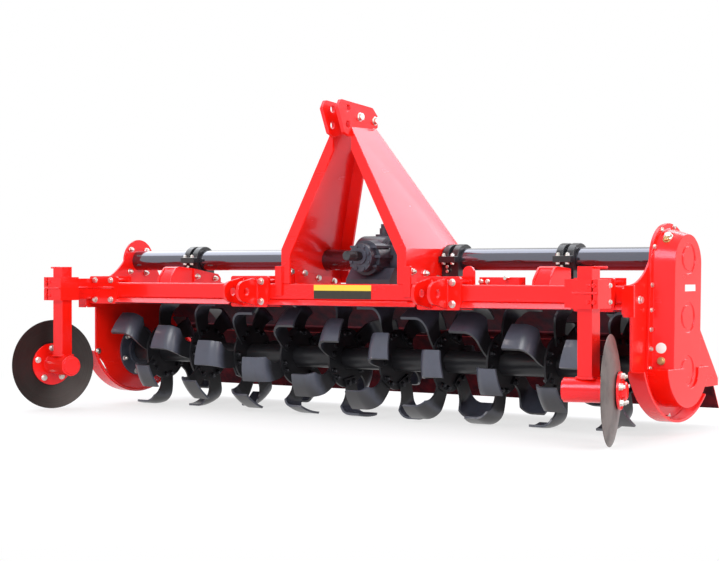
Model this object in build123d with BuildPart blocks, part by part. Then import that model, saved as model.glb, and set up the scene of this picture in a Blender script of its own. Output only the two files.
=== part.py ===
from build123d import *
from math import atan2, cos, degrees, radians, sin, sqrt
import os

# Rotary tiller for a tractor's three-point hitch.
# Millimetres. X runs across the machine, -Y points to the tractor, Z = 0 is the floor.
# The drafting origin is under the rotor axis, in the plane of the hitch.

# Shell
side_left = -1236
side_right = 1114
side_t = 8
ear_front = -285
ear_low = 386
ear_high = 486
plate_rear = 395
plate_rear_high = 165
plate_rear_low = 140
plate_knee = (261, 328)
plate_shoulder = (132, 507)
skid_center = (10, 316)
skid_radius = 272
skid_t = 8
skid_width = 48
arc_open = 23.6
arc_notch = 52
arc_close = 30.3
notch_depth = 17
ear_flange = 35
deck_t = 5
deck_front = 478
deck_rear = 446
deck_rear_y = 130
slope_end = (250, 318)
lip_t = 5
lip_low = (-276, 405)
lip_back = -215
gap = 0.3
run_fit = 0.05

# Front beam
beam_front = -255
beam_depth = 58
beam_z = 455
beam_height = 58
beam_wall = 6
beam_corner = 7

# Hitch
lower_spread = 825
lower_pin_y = -327
lower_pin_r = 14.4
ear_gap = 52
ear_t = 12
ear_nose = 38
clevis_height = 112
clevis_width = 176
plate_t = 12
mast_height = 610
top_pin_r = 12.85
top_hole_drop = 56
top_gap = 53
top_t = 14

# Mast
leg_x = 273
leg_t = 10
leg_front = -255
leg_bend = 606
leg_rear_low = 88
leg_top = 1030
leg_top_rear = -104
front_flange = 38
rear_flange = 50

# Cross tube, gearbox and drive case
tube_y = 10
tube_z = 569
tube_r = 39
tube_wall = 6
box_half = 98
drum_low = -80
filler_x = -6
drum_high = 34
drum_r = 84
pto_y = -231
pto_z = 582
pto_r = 17.45
neck_r = 15
spline_end = -158
neck_depth = 14
cover_y = -155
case_depth = 76
case_r = 112
case_draft = 15
case_flange = 10
case_top_drop = 15
case_top_flange = 130
case_low_flange = 145
guard_r = 148
guard_t = 5.7
guard_rise = 30
guard_top = 220

# Rotor
rotor_z = 211
tip_r = 211
rotor_r = 40
stub_r = 25
station_margin = 164
stations = 10
blades = 6
flange_r = 108
flange_t = 8
blade_t = 8
wing_reach = 110
wing_chord = 82
bend_r = 46
phase_start = 83.5
phase_step = -15.5

# Discs
post_y = -448
post_size = 50
post_wall = 5
post_top = 544
disc_r = 170
disc_t = 5
disc_dish = 25
disc_turn = 18.5
hub_flange = 80
hub_r = 38
hub_inner = 75
hub_bore = 14
arm_height = 88
arm_width = 46
clamp_inner = 36
clamp_outer = 55
clamp_cap = 16
clamp_slot = 6
clamp_front = 44
clamp_rear = 40
clamp_bolt_r = 6
# side, x of the post and distance from the post to the disc's rim
posts = {"left": -1189, "right": 1082}
rim_offset = {"left": 80, "right": 62}
outward = {"left": -1, "right": 1}

# Rear board
board_t = 4
board_foot = (436, 58)
hinge_r = 9

top_pin_z = beam_z + mast_height + top_hole_drop / 2
top_pin_y = lower_pin_y + 54
plate_r = skid_radius - skid_t - gap
plate_front = skid_center[0] - plate_r * cos(radians(arc_open))
leg_foot = deck_front + 6
case_face = side_right + case_depth
first_station = side_left + station_margin
station_pitch = (side_right - side_left - 2 * station_margin + 3) / (stations - 1)
deck_drop = (deck_front - deck_rear) / (deck_rear_y - (beam_front + beam_depth))
parts = {}


def deck_top(y):
    """Height of the sloping deck's upper face."""
    return deck_front - deck_drop * (y - (beam_front + beam_depth))


def keep(name, part):
    part.label = name
    parts[name] = part


def slab(x_low, x_high, points):
    """A prism along X from an outline of (y, z) points."""
    with BuildPart() as prism:
        with BuildSketch(Plane.YZ.offset(x_low)):
            Polygon(*points, align=None)
        extrude(amount=x_high - x_low)
    return prism.part


def back_plates(center, width, height):
    """Clamp plates behind the beam, one above and one below the deck's front edge."""
    low = beam_z - height / 2
    high = beam_z + height / 2
    edge = deck_front - deck_t * 1.1 - 1
    with BuildPart() as plates:
        with BuildSketch(Plane.XZ.offset(-beam_front - beam_depth)):
            with Locations((center, (low + edge) / 2)):
                Rectangle(width, edge - low)
            with Locations((center, (deck_front + high) / 2)):
                Rectangle(width, high - deck_front)
        extrude(amount=-plate_t)
    return plates.part


# Front beam, a hollow square tube between the side plates
with BuildPart() as front_beam:
    with BuildSketch(Plane.YZ.offset(side_left + side_t)):
        with Locations((beam_front + beam_depth / 2, beam_z)):
            RectangleRounded(beam_depth, beam_height, beam_corner)
            RectangleRounded(
                beam_depth - 2 * beam_wall, beam_height - 2 * beam_wall, beam_corner / 4, mode=Mode.SUBTRACT
            )
    extrude(amount=side_right - side_left - 2 * side_t)
keep("front_beam", front_beam.part)

# Hood: the sloping deck with its rear fold, and the lip strips under the beam
arm_plate_w = 146
arm_plate_h = 106
arm_plate_x = {"left": posts["left"] + 35, "right": posts["right"] - 84}
lip_spans = [
    (arm_plate_x["left"] + arm_plate_w / 2 + 2, -lower_spread / 2 - clevis_width / 2 - 2),
    (-lower_spread / 2 + clevis_width / 2 + 2, lower_spread / 2 - clevis_width / 2 - 2),
    (lower_spread / 2 + clevis_width / 2 + 2, arm_plate_x["right"] - arm_plate_w / 2 - 2),
    (arm_plate_x["right"] + arm_plate_w / 2 + 2, side_right - side_t - gap),
]
beam_bottom = beam_z - beam_height / 2
deck_start = beam_front + beam_depth + 0.6
with BuildPart() as hood:
    with BuildSketch(Plane.YZ.offset(side_left + side_t)):
        with BuildLine():
            Polyline((deck_start, deck_top(deck_start)), (deck_rear_y, deck_rear), slope_end)
            offset(amount=deck_t, side=Side.RIGHT, kind=Kind.INTERSECTION)
        make_face()
    extrude(amount=side_right - side_left - 2 * side_t)
    for low, high in lip_spans:
        with BuildSketch(Plane.YZ.offset(low)):
            with BuildLine():
                Polyline(lip_low, (beam_front - 2, beam_bottom - lip_t), (lip_back, beam_bottom - lip_t))
                offset(amount=lip_t, side=Side.LEFT, kind=Kind.INTERSECTION)
            make_face()
        extrude(amount=high - low)
keep("hood", hood.part)


def rim_point(turn):
    """A point of a side plate's round edge, turned down from the front in degrees."""
    return (
        skid_center[0] - plate_r * cos(radians(turn)),
        skid_center[1] - plate_r * sin(radians(turn)),
    )


# Side plates: gooseneck over the cross tube, ear over the beam's end, round lower edge
def side_plate(out, neck_r, neck_side, neck_mid, hole_r):
    x_low = side_left if out < 0 else side_right - side_t
    middle = (arc_open + arc_notch) / 2
    notch = (
        skid_center[0] - (plate_r - notch_depth) * cos(radians(middle)),
        skid_center[1] - (plate_r - notch_depth) * sin(radians(middle)),
    )
    with BuildPart() as plate:
        with BuildSketch(Plane.YZ.offset(x_low)):
            with BuildLine():
                Polyline(
                    neck_side,
                    (ear_front, ear_high - 12),
                    (ear_front, ear_low + 12),
                    (ear_front + 12, ear_low),
                    (plate_front, ear_low),
                    rim_point(arc_open),
                    notch,
                    rim_point(arc_notch),
                )
                ThreePointArc(rim_point(arc_notch), rim_point(90), rim_point(180 - arc_close))
                Polyline(
                    rim_point(180 - arc_close),
                    (300, plate_rear_low),
                    (plate_rear, plate_rear_low),
                    (plate_rear, plate_rear_high),
                    plate_knee,
                    plate_shoulder,
                    (tube_y + neck_r, tube_z),
                )
                ThreePointArc((tube_y + neck_r, tube_z), (tube_y, tube_z + neck_r), (tube_y - neck_r, tube_z))
                ThreePointArc((tube_y - neck_r, tube_z), neck_mid, neck_side)
            make_face()
            with Locations((0, rotor_z)):
                Circle(hole_r, mode=Mode.SUBTRACT)
        extrude(amount=side_t)
        with BuildSketch(Plane.YZ.offset(side_left if out < 0 else side_right)):
            with Locations((ear_front + side_t / 2, (ear_low + ear_high) / 2)):
                RectangleRounded(side_t, ear_high - ear_low, 2)
        extrude(amount=out * ear_flange)
    return plate.part


bearing_boss = 56
keep("side_plate_left", side_plate(-1, 84, (-250, ear_high), (-140, 515), bearing_boss + gap))
keep("side_plate_right", side_plate(1, 113, (-262, ear_high), (-160, 512), bearing_boss + gap))

# Skids: bent bars under the round edge of each side plate
for side in ("left", "right"):
    out = outward[side]
    start = side_left + side_t if side == "left" else side_right - side_t
    with BuildPart() as skid:
        with BuildSketch(Plane.YZ.offset(start)):
            with BuildLine():
                CenterArc(skid_center, skid_radius - skid_t, 202, 112)
                offset(amount=skid_t, side=Side.RIGHT, kind=Kind.INTERSECTION)
            make_face()
        extrude(amount=out * (skid_width + side_t))
    keep("skid_" + side, skid.part)


# Mast legs: folded channels, upright at the foot and leaning in above the bend
def leg_line(inset):
    """The leg's outer corner line seen from the front, moved inward by a distance."""
    lean = atan2(leg_x - top_gap / 2 - top_t, leg_top - leg_bend)
    shift = inset * (1 - sin(lean)) / cos(lean)
    return [
        (leg_x - inset, leg_foot),
        (leg_x - inset, leg_bend - shift),
        (top_gap / 2 + top_t - inset / cos(lean), leg_top),
    ]


def leg_strip(width, outline):
    with BuildPart() as strip:
        with BuildSketch(Plane.XZ):
            outer = leg_line(0)
            inner = leg_line(width)
            Polygon(*outer, *reversed(inner), align=None)
        extrude(amount=500, both=True)
        with BuildSketch(Plane.YZ):
            Polygon(*outline, align=None)
        extrude(amount=leg_x + 50, mode=Mode.INTERSECT)
    return strip.part


strap_low = beam_z - 14
strap_high = leg_foot + 62
strap_width = 30
strap_t = 8
with BuildPart() as leg_right:
    add(
        leg_strip(
            leg_t,
            [
                (leg_front, leg_foot),
                (leg_front, leg_top),
                (leg_top_rear, leg_top),
                (leg_rear_low, leg_bend),
                (leg_rear_low, leg_foot),
            ],
        )
    )
    add(
        leg_strip(
            front_flange,
            [
                (leg_front, leg_foot),
                (leg_front, leg_top),
                (leg_front + leg_t, leg_top),
                (leg_front + leg_t, leg_foot),
            ],
        )
    )
    add(
        leg_strip(
            rear_flange,
            [
                (leg_rear_low - leg_t, leg_foot),
                (leg_rear_low - leg_t, leg_bend),
                (leg_top_rear - leg_t, leg_top),
                (leg_top_rear, leg_top),
                (leg_rear_low, leg_bend),
                (leg_rear_low, leg_foot),
            ],
        )
    )
    with BuildSketch(Plane.YZ):
        with Locations((tube_y, tube_z)):
            Circle(tube_r + gap)
    extrude(amount=leg_x + 10, mode=Mode.SUBTRACT)
    split(bisect_by=Plane.YZ.offset(top_gap / 2 + top_t), keep=Keep.TOP)
    with BuildSketch(Plane.XZ.offset(-leg_front)):
        with Locations((leg_x + 8, (strap_low + strap_high) / 2)):
            RectangleRounded(strap_width, strap_high - strap_low, 3)
    extrude(amount=strap_t)
keep("mast_leg_right", leg_right.part)
with BuildPart() as leg_left:
    add(leg_right.part)
    mirror(about=Plane.YZ, mode=Mode.REPLACE)
keep("mast_leg_left", leg_left.part)

# Mast rails: angle bars on the deck, bolted inside the feet of the legs
rail_t = 8
rail_width = 46
with BuildPart() as mast_rails:
    for out in (-1, 1):
        web = out * (leg_x - leg_t)
        foot = out * (leg_x - leg_t - rail_width)
        ends = (beam_front + beam_depth + 2, leg_rear_low - leg_t - 2)
        wall = [
            (ends[0], deck_top(ends[0])),
            (ends[1], deck_top(ends[1])),
            (ends[1], deck_top(ends[1]) + 52),
            (ends[0], deck_top(ends[0]) + 52),
        ]
        base = [
            (ends[0], deck_top(ends[0])),
            (ends[1], deck_top(ends[1])),
            (ends[1], deck_top(ends[1]) + rail_t),
            (ends[0], deck_top(ends[0]) + rail_t),
        ]
        add(slab(min(web, web - out * rail_t), max(web, web - out * rail_t), wall))
        add(slab(min(foot, web), max(foot, web), base))
keep("mast_rails", mast_rails.part)

# Top hitch: two nose plates on the mast's head, joined by spacer bolts
nose = [
    (-330, 1092),
    (-312, 1122),
    (-128, 1104),
    (-98, 1076),
    (-98, 1034),
    (-262, 996),
    (-292, 1008),
]
with BuildPart() as top_hitch:
    for x in (-top_gap / 2 - top_t, top_gap / 2):
        with BuildSketch(Plane.YZ.offset(x)):
            Polygon(*nose, align=None)
            fillet(vertices(), 8)
            with Locations((top_pin_y, top_pin_z), (top_pin_y, top_pin_z - top_hole_drop)):
                Circle(top_pin_r, mode=Mode.SUBTRACT)
        extrude(amount=top_t)
    with BuildSketch(Plane.YZ.offset(-top_gap / 2 - top_t)):
        with Locations((-190, 1082), (-122, 1062)):
            Circle(10)
    extrude(amount=top_gap + 2 * top_t)
keep("top_hitch", top_hitch.part)

# Lower hitch: clevises clamped round the front beam
clevis_low = beam_z - clevis_height / 2
clevis_high = beam_z + clevis_height / 2
for side in ("left", "right"):
    center = outward[side] * lower_spread / 2
    with BuildPart() as clevis:
        with BuildSketch(Plane.XZ.offset(-beam_front)):
            with Locations((center, beam_z)):
                RectangleRounded(clevis_width, clevis_height, 10)
        extrude(amount=plate_t)
        add(back_plates(center, clevis_width, clevis_height))
        for x in (center - ear_gap / 2 - ear_t, center + ear_gap / 2):
            with BuildSketch(Plane.YZ.offset(x)):
                with BuildLine():
                    Line((beam_front - plate_t, clevis_low + 4), (beam_front - plate_t, clevis_high - 4))
                    Line((beam_front - plate_t, clevis_high - 4), (lower_pin_y - 8, beam_z + ear_nose))
                    ThreePointArc(
                        (lower_pin_y - 8, beam_z + ear_nose),
                        (lower_pin_y - 8 - ear_nose, beam_z),
                        (lower_pin_y - 8, beam_z - ear_nose),
                    )
                    Line((lower_pin_y - 8, beam_z - ear_nose), (beam_front - plate_t, clevis_low + 4))
                make_face()
                with Locations((lower_pin_y, beam_z)):
                    Circle(lower_pin_r, mode=Mode.SUBTRACT)
            extrude(amount=ear_t)
        with BuildSketch(Plane.XZ.offset(-beam_front)):
            with Locations((center, beam_z)):
                with GridLocations(clevis_width - 44, beam_height + 17, 2, 2):
                    Circle(8)
        extrude(amount=-beam_depth)
    keep("lower_hitch_" + side, clevis.part)

# Cross tube in two halves, from the gearbox to each side plate
for name, x_low, x_high in (
    ("cross_tube_left", side_left + side_t, -box_half),
    ("cross_tube_right", box_half, side_right - side_t),
):
    with BuildPart() as tube:
        with BuildSketch(Plane.YZ.offset(x_low)):
            with Locations((tube_y, tube_z)):
                Circle(tube_r)
                Circle(tube_r - tube_wall, mode=Mode.SUBTRACT)
        extrude(amount=x_high - x_low)
    keep(name, tube.part)

# Tube clamps: split black castings on pedestals
clamp_half = 34
clamp_x = [-903, -leg_x - clamp_half - 2, leg_x + clamp_half + 2, 765]
clamp_r = 54
with BuildPart() as tube_clamps:
    for x in clamp_x:
        with BuildSketch(Plane.YZ.offset(x - clamp_half)):
            with Locations((tube_y, tube_z)):
                Circle(clamp_r)
                Rectangle(2 * clamp_r + 36, 22)
            Polygon(
                (tube_y - 48, tube_z),
                (tube_y + 48, tube_z),
                (tube_y + clamp_r, deck_top(tube_y + clamp_r)),
                (tube_y - clamp_r, deck_top(tube_y - clamp_r)),
                align=None,
            )
            with Locations((tube_y, tube_z)):
                Circle(tube_r + gap, mode=Mode.SUBTRACT)
        extrude(amount=2 * clamp_half)
        with BuildSketch(Plane.YZ.offset(x - 7)):
            with Locations((tube_y, tube_z + 11 + clamp_r / 2)):
                Rectangle(2 * clamp_r + 2, clamp_r)
        extrude(amount=14, mode=Mode.SUBTRACT)
keep("tube_clamps", tube_clamps.part)

# Clamp gussets: channels under each clamp, from the beam back over the deck
gusset_t = 8
with BuildPart() as clamp_gussets:
    for x in clamp_x[:1] + clamp_x[3:]:
        front = beam_front + beam_depth + 1
        side_outline = [
            (front, deck_top(front)),
            (front + 4, deck_top(front) + 22),
            (front + 36, 540),
            (front + 50, 545),
            (tube_y - clamp_r - 12, 538),
            (tube_y - clamp_r - 12, deck_top(tube_y - clamp_r - 12)),
        ]
        top_outline = [
            (front + 36, 540 - gusset_t),
            (front + 36, 540),
            (front + 50, 545),
            (tube_y - clamp_r - 12, 538),
            (tube_y - clamp_r - 12, 538 - gusset_t),
            (front + 50, 545 - gusset_t),
        ]
        for low in (x - clamp_half, x + clamp_half - gusset_t):
            add(slab(low, low + gusset_t, side_outline))
        add(slab(x - clamp_half, x + clamp_half, top_outline))
        back = tube_y + clamp_r + 12
        rail = [
            (back, deck_top(back)),
            (back, deck_top(back) + 40),
            (deck_rear_y, deck_top(deck_rear_y) + 30),
            (deck_rear_y, deck_top(deck_rear_y)),
        ]
        add(slab(x - clamp_half, x + clamp_half, rail))
    # low channel for a parking stand, right of the mast
    channel_x = (519, 675)
    channel_y = -160
    with BuildSketch(Plane.XY.offset(deck_top(channel_y - 24))):
        with Locations(((channel_x[0] + channel_x[1]) / 2, channel_y)):
            Rectangle(channel_x[1] - channel_x[0], 40)
    extrude(amount=32)
    with BuildSketch(Plane.YZ.offset(channel_x[0])):
        Polygon(
            (channel_y - 24, deck_top(channel_y - 24) - 12),
            (channel_y + 24, deck_top(channel_y + 24) - 12),
            (channel_y + 24, deck_top(channel_y + 24)),
            (channel_y - 24, deck_top(channel_y - 24)),
            align=None,
        )
    extrude(amount=channel_x[1] - channel_x[0], mode=Mode.SUBTRACT)
keep("clamp_gussets", clamp_gussets.part)

# Gearbox: crown wheel drum across the tube, input neck, sloped foot
with BuildPart() as gearbox:
    with BuildSketch(Plane.YZ.offset(-box_half)):
        with Locations((tube_y, tube_z)):
            Circle(62)
    extrude(amount=2 * box_half)
    with BuildSketch(Plane.YZ.offset(drum_low)):
        with Locations((tube_y - 14, tube_z + 2)):
            Circle(drum_r)
    extrude(amount=drum_high - drum_low)
    with BuildSketch(Plane.YZ.offset(drum_low - 7)):
        with Locations((tube_y - 14, tube_z + 2)):
            Circle(drum_r - 14)
    extrude(amount=drum_high - drum_low + 14)
    with BuildSketch(Plane.XZ.offset(-cover_y - 40)):
        with Locations((0, pto_z - 6)):
            Circle(62)
    extrude(amount=cover_y + 40 - tube_y)
    with BuildSketch(Plane.XZ.offset(-cover_y - 16)):
        with Locations((0, pto_z - 6)):
            Circle(50)
    extrude(amount=-30)
    for lift in (-34, 0, 34):
        with BuildSketch(Plane.XY.offset(pto_z - 6 + lift)):
            with Locations((0, cover_y / 2 - 10)):
                Rectangle(150 - abs(lift), -cover_y - 70)
        extrude(amount=9)
    foot_y = (-104, 84)
    with BuildSketch(Plane.YZ.offset(-box_half + 2)):
        Polygon(
            (foot_y[0], deck_top(foot_y[0])),
            (foot_y[1], deck_top(foot_y[1])),
            (foot_y[1], deck_top(foot_y[1]) + 26),
            (48, 540),
            (-72, 540),
            (foot_y[0], deck_top(foot_y[0]) + 30),
            align=None,
        )
    extrude(amount=2 * box_half - 4)
    with BuildSketch(Plane.XY.offset(tube_z + 30)):
        with Locations((filler_x, tube_y)):
            RectangleRounded(56, 48, 8)
    extrude(amount=62)
keep("gearbox_housing", gearbox.part)

with BuildPart() as input_cover:
    with BuildSketch(Plane.XZ.offset(-cover_y - 16)):
        with Locations((0, pto_z - 6)):
            Circle(50)
    extrude(amount=10)
    with BuildSketch(Plane.XZ.offset(-cover_y - 6)):
        with Locations((0, pto_z)):
            Circle(30)
    extrude(amount=6)
    with BuildSketch(Plane.XZ.offset(-cover_y)):
        with Locations((0, pto_z)):
            Circle(neck_r + run_fit)
    extrude(amount=-neck_depth - 2, mode=Mode.SUBTRACT)
keep("gearbox_cover", input_cover.part)

with BuildPart() as filler:
    with BuildSketch(Plane.XY.offset(tube_z + 92)):
        with Locations((filler_x, tube_y)):
            Circle(19)
    extrude(amount=22)
    with BuildSketch(Plane.XY.offset(tube_z + 114)):
        with Locations((filler_x, tube_y)):
            RegularPolygon(16, 6)
    extrude(amount=15)
keep("gearbox_filler", filler.part)

# Input shaft: the splined end, and its neck in the cover's seal
with BuildPart() as pto_shaft:
    with BuildSketch(Plane.XZ.offset(-pto_y)):
        with Locations((0, pto_z)):
            Circle(pto_r)
    extrude(amount=pto_y - spline_end)
    with BuildSketch(Plane.XZ.offset(-spline_end)):
        with Locations((0, pto_z)):
            Circle(neck_r)
    extrude(amount=spline_end - cover_y - neck_depth)
keep("pto_shaft", pto_shaft.part)

# Drive case on the right side plate
case_top = (tube_y, tube_z - case_top_drop)
case_tilt = degrees(atan2(tube_y, case_top[1] - rotor_z))
case_length = sqrt(tube_y**2 + (case_top[1] - rotor_z) ** 2)
case_mid = (tube_y / 2, (case_top[1] + rotor_z) / 2)
with BuildPart() as drive_case:
    with BuildSketch(Plane.YZ.offset(side_right)):
        with Locations(case_top):
            Circle(case_top_flange)
        with Locations((0, rotor_z)):
            Circle(case_low_flange)
        make_hull()
    extrude(amount=case_flange)
    with BuildSketch(Plane.YZ.offset(side_right + case_flange)):
        with Locations(Location(case_mid, 90 - case_tilt)):
            SlotCenterToCenter(case_length, 2 * case_r)
    extrude(amount=case_depth - case_flange, taper=case_draft)
    with BuildSketch(Plane.YZ.offset(case_face)):
        for place in ((tube_y, case_top[1] + 16), case_mid, (0, rotor_z)):
            with Locations(place):
                Circle(50)
                Circle(38, mode=Mode.SUBTRACT)
    extrude(amount=-3, mode=Mode.SUBTRACT)
    with BuildSketch(Plane.YZ.offset(side_right)):
        with Locations((0, rotor_z)):
            Circle(stub_r + run_fit)
    extrude(amount=30, mode=Mode.SUBTRACT)
keep("drive_case", drive_case.part)

# Guard shoe round the case's lower end, with a window over the shaft cover
window = (21, 205, 50)
with BuildPart() as case_guard:
    with BuildSketch(Plane.YZ.offset(side_right + case_flange)):
        with Locations((0, rotor_z + guard_rise)):
            Circle(guard_r)
    extrude(amount=case_depth - case_flange + guard_t)
    with BuildSketch(Plane.YZ.offset(side_right + case_flange)):
        with Locations((0, rotor_z + guard_rise)):
            Circle(guard_r - guard_t)
    extrude(amount=case_depth - case_flange, mode=Mode.SUBTRACT)
    with BuildSketch(Plane.YZ.offset(side_right)):
        with Locations((0, guard_top + guard_r)):
            Rectangle(3 * guard_r, 2 * guard_r)
        with Locations(window[:2]):
            Circle(window[2])
        with Locations((window[0], window[1] + window[2])):
            Rectangle(2 * window[2], 2 * window[2])
    extrude(amount=case_depth * 2, mode=Mode.SUBTRACT)
keep("case_guard", case_guard.part)

# Rotor: tube with stub shafts, and ten flanges with six blades each
with BuildPart() as rotor_tube:
    with BuildSketch(Plane.YZ.offset(side_left + side_t + 22)):
        with Locations((0, rotor_z)):
            Circle(rotor_r)
    extrude(amount=side_right - side_left - 2 * side_t - 44)
    with BuildSketch(Plane.YZ.offset(side_left - 12)):
        with Locations((0, rotor_z)):
            Circle(stub_r)
    extrude(amount=side_right - side_left + 12 + 20)
keep("rotor_tube", rotor_tube.part)


def blade(hand):
    """One L-blade at the top of a flange: a profile turned round the rotor, cut to a sickle outline."""
    face = flange_t / 2
    shank = 74
    bend = (hand * (face + bend_r), tip_r - bend_r)
    inner_r = bend_r - blade_t
    diagonal = sqrt(0.5)
    with BuildPart() as one:
        with BuildSketch(Plane.XZ):
            with BuildLine():
                Polyline((hand * face, tip_r - bend_r), (hand * face, shank), (hand * (face + blade_t), shank),
                         (hand * (face + blade_t), tip_r - bend_r))
                ThreePointArc(
                    (hand * (face + blade_t), tip_r - bend_r),
                    (bend[0] - hand * inner_r * diagonal, bend[1] + inner_r * diagonal),
                    (bend[0], tip_r - blade_t),
                )
                Polyline((bend[0], tip_r - blade_t), (hand * wing_reach, tip_r - blade_t),
                         (hand * wing_reach, tip_r), (bend[0], tip_r))
                ThreePointArc(
                    (bend[0], tip_r),
                    (bend[0] - hand * bend_r * diagonal, bend[1] + bend_r * diagonal),
                    (hand * face, tip_r - bend_r),
                )
            make_face()
        revolve(axis=Axis.X)
        with BuildSketch(Plane.YZ):
            with BuildLine():
                Line((-32, shank), (36, shank))
                ThreePointArc((36, shank), (34, 128), (wing_chord - 8, 166))
                Line((wing_chord - 8, 166), (wing_chord + 8, tip_r))
                Line((wing_chord + 8, tip_r), (-6, tip_r + 2))
                ThreePointArc((-6, tip_r + 2), (-30, 140), (-32, shank))
            make_face()
        extrude(amount=wing_reach + 20, both=True, mode=Mode.INTERSECT)
        with BuildSketch(Plane.XY):
            Polygon(
                (0, -60), (hand * wing_reach, -60), (hand * wing_reach, 0),
                (hand * (wing_reach - 18), wing_chord + 30), (0, wing_chord + 30),
                align=None,
            )
        extrude(amount=2 * tip_r, mode=Mode.INTERSECT)
    return one.part


blade_right = blade(1)
blade_left = blade(-1)
for i in range(stations):
    station_x = first_station + i * station_pitch
    phase = phase_start + phase_step * i
    with BuildPart() as station:
        with BuildSketch(Plane.YZ.offset(-flange_t / 2)):
            Circle(flange_r)
            Circle(rotor_r + gap, mode=Mode.SUBTRACT)
        extrude(amount=flange_t)
        for k in range(blades):
            turn = phase + 60 * k
            add((blade_right if k % 2 == 0 else blade_left).rotate(Axis.X, 90 - turn))
    keep(f"blade_set_{i + 1:02d}", station.part.moved(Location((station_x, 0, rotor_z))))

# Rotor bearings in the side plates
with BuildPart() as bearing_left:
    with BuildSketch(Plane.YZ.offset(side_left - 14)):
        with Locations((0, rotor_z)):
            Circle(92)
            Circle(stub_r + run_fit, mode=Mode.SUBTRACT)
    extrude(amount=14)
    with BuildSketch(Plane.YZ.offset(side_left)):
        with Locations((0, rotor_z)):
            Circle(bearing_boss)
            Circle(stub_r + run_fit, mode=Mode.SUBTRACT)
    extrude(amount=side_t + 16)
    with BuildSketch(Plane.YZ.offset(side_left + side_t)):
        with Locations((0, rotor_z)):
            Circle(100)
            Circle(stub_r + run_fit, mode=Mode.SUBTRACT)
    extrude(amount=8)
keep("rotor_bearing_left", bearing_left.part)
with BuildPart() as bearing_right:
    with BuildSketch(Plane.YZ.offset(side_right - side_t - 16)):
        with Locations((0, rotor_z)):
            Circle(bearing_boss)
            Circle(stub_r + run_fit, mode=Mode.SUBTRACT)
    extrude(amount=side_t + 16)
    with BuildSketch(Plane.YZ.offset(side_right - side_t - 8)):
        with Locations((0, rotor_z)):
            Circle(100)
            Circle(stub_r + run_fit, mode=Mode.SUBTRACT)
    extrude(amount=8)
keep("rotor_bearing_right", bearing_right.part)

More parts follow.
